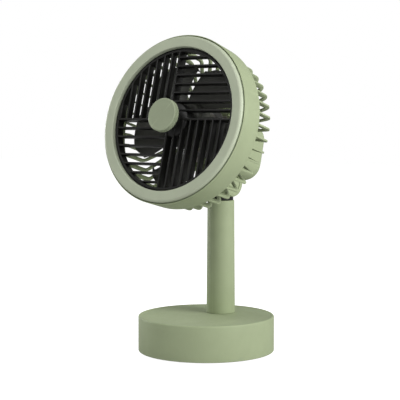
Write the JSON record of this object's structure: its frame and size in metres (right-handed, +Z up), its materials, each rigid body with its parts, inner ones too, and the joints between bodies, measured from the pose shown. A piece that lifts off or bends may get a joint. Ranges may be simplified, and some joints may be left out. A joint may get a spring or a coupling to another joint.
{
  "type": "desk fan",
  "caption": "Desk fan: round head with a slatted front grille, central knob and ribbed rear cage, on a column and a weighted drum base.",
  "frame": {"origin": "centre of the base's underside, on the surface the fan stands on", "axes": "+Z up along the column, -Y the way the fan blows, +X to its left"},
  "size_m": [0.1674, 0.1468, 0.3129],
  "materials": {
    "sage_plastic": "fine matte moulded, sage green",
    "black_plastic": "satin moulded, black",
    "charcoal_plastic": "satin moulded, dark grey",
    "rubber": "fine grained, dark",
    "steel": "plated",
    "cast_iron": "cast, oiled",
    "cell_wrap": "shrink wrapped, blue",
    "circuit_board": "solder mask, green",
    "acetal": "moulded, off white",
    "copper_winding": "enamelled copper over laminations",
    "magnet": "bonded ferrite",
    "cast_alloy": "die cast"
  },
  "bodies": {
    "stand": {"base_shell": "sage_plastic", "base_plate": "charcoal_plastic", "foot_pad": "rubber", "ballast_weight": "cast_iron", "base_screw_1": "steel", "base_screw_2": "steel", "base_screw_3": "steel", "base_screw_4": "steel", "battery_tray": "black_plastic", "battery_cell_1": "cell_wrap", "battery_cell_2": "cell_wrap", "charge_board": "circuit_board", "usb_socket": "steel", "column_tube": "sage_plastic", "column_nut": "steel", "swivel_bush": "acetal"},
    "neck": {"neck_post": "black_plastic", "swivel_washer": "steel", "swivel_screw": "steel"},
    "head": {"front_ring": "sage_plastic", "barrel": "sage_plastic", "front_grille": "black_plastic", "rear_grille": "sage_plastic", "motor_mount": "cast_alloy", "stator_core": "copper_winding", "bearing_front": "steel", "bearing_rear": "steel", "motor_screw_1": "steel", "motor_screw_2": "steel", "motor_screw_3": "steel", "motor_housing": "sage_plastic", "housing_screw_1": "steel", "housing_screw_2": "steel", "housing_screw_3": "steel", "driver_board": "circuit_board", "hinge_pin": "steel", "hinge_nut": "steel", "hinge_washer_1": "acetal", "hinge_washer_2": "acetal", "hinge_cap_1": "sage_plastic", "hinge_cap_2": "sage_plastic", "speed_encoder": "cast_alloy", "hub_cover": "black_plastic"},
    "rotor": {"impeller": "charcoal_plastic", "impeller_nut": "steel", "motor_shaft": "steel", "rotor_cup": "steel", "magnet_ring": "magnet"},
    "knob": {"speed_knob": "sage_plastic", "knob_shaft": "steel"}
  },
  "joints": [
    {"name": "head_swivel", "type": "hinge", "parent": "stand", "child": "neck", "pos_m": [0, 0.0248, 0.15], "axis": [0, 0, 1], "range_deg": [-45, 45]},
    {"name": "head_tilt", "type": "hinge", "parent": "neck", "child": "head", "pos_m": [0, 0.0248, 0.1685], "axis": [-1, 0, 0], "range_deg": [-35, 25]},
    {"name": "fan_spin", "type": "hinge", "parent": "head", "child": "rotor", "pos_m": [0, -0.03601, 0.22702], "axis": [0, -0.9646, 0.2639], "continuous": true},
    {"name": "knob_turn", "type": "hinge", "parent": "head", "child": "knob", "pos_m": [0, -0.06687, 0.23547], "axis": [0, 0.9646, -0.2639], "range_deg": [0, 270]}
  ]
}
